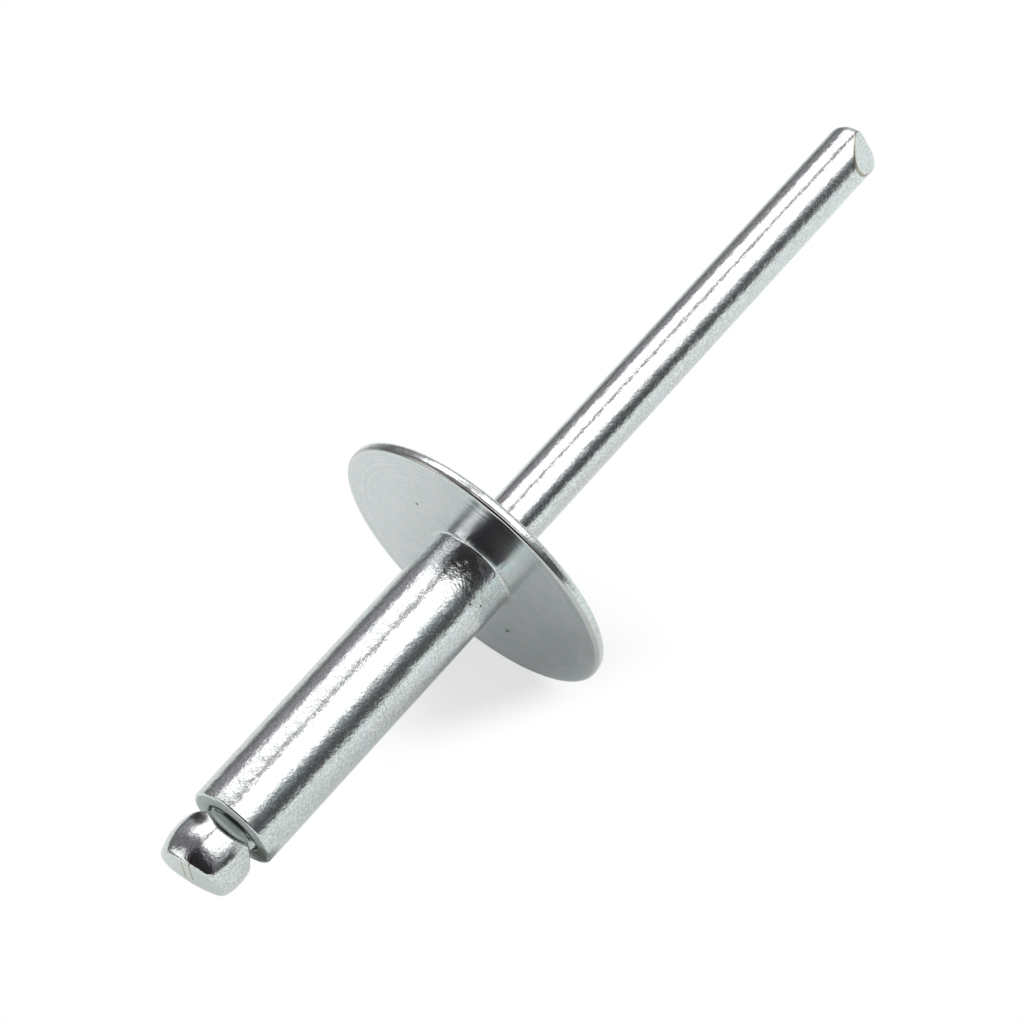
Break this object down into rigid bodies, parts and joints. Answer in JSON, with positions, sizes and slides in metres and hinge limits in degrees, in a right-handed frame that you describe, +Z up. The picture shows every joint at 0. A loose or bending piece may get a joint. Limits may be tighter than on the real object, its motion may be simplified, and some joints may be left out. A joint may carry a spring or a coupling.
{
  "type": "pop rivet",
  "caption": "Unset steel blind rivet lying at rest: tubular shank under a wide domed flange, with a mandrel through the bore that ends in a formed head.",
  "frame": {"origin": "on the surface that the rivet lies on, below the middle of its length", "axes": "+X along the length towards the mandrel's tip, +Z up; the rivet's own axis lies in the XZ plane and rises 16 degrees towards +X"},
  "size_m": [0.0514, 0.016, 0.0175],
  "materials": {
    "zinc_plated_body": "bright clear zinc plating on cold-formed steel, satin on the flange",
    "zinc_plated_mandrel": "bright clear zinc plating on drawn steel wire"
  },
  "bodies": {
    "root": {"rivet_body": "zinc_plated_body", "mandrel": "zinc_plated_mandrel"}
  },
  "joints": []
}
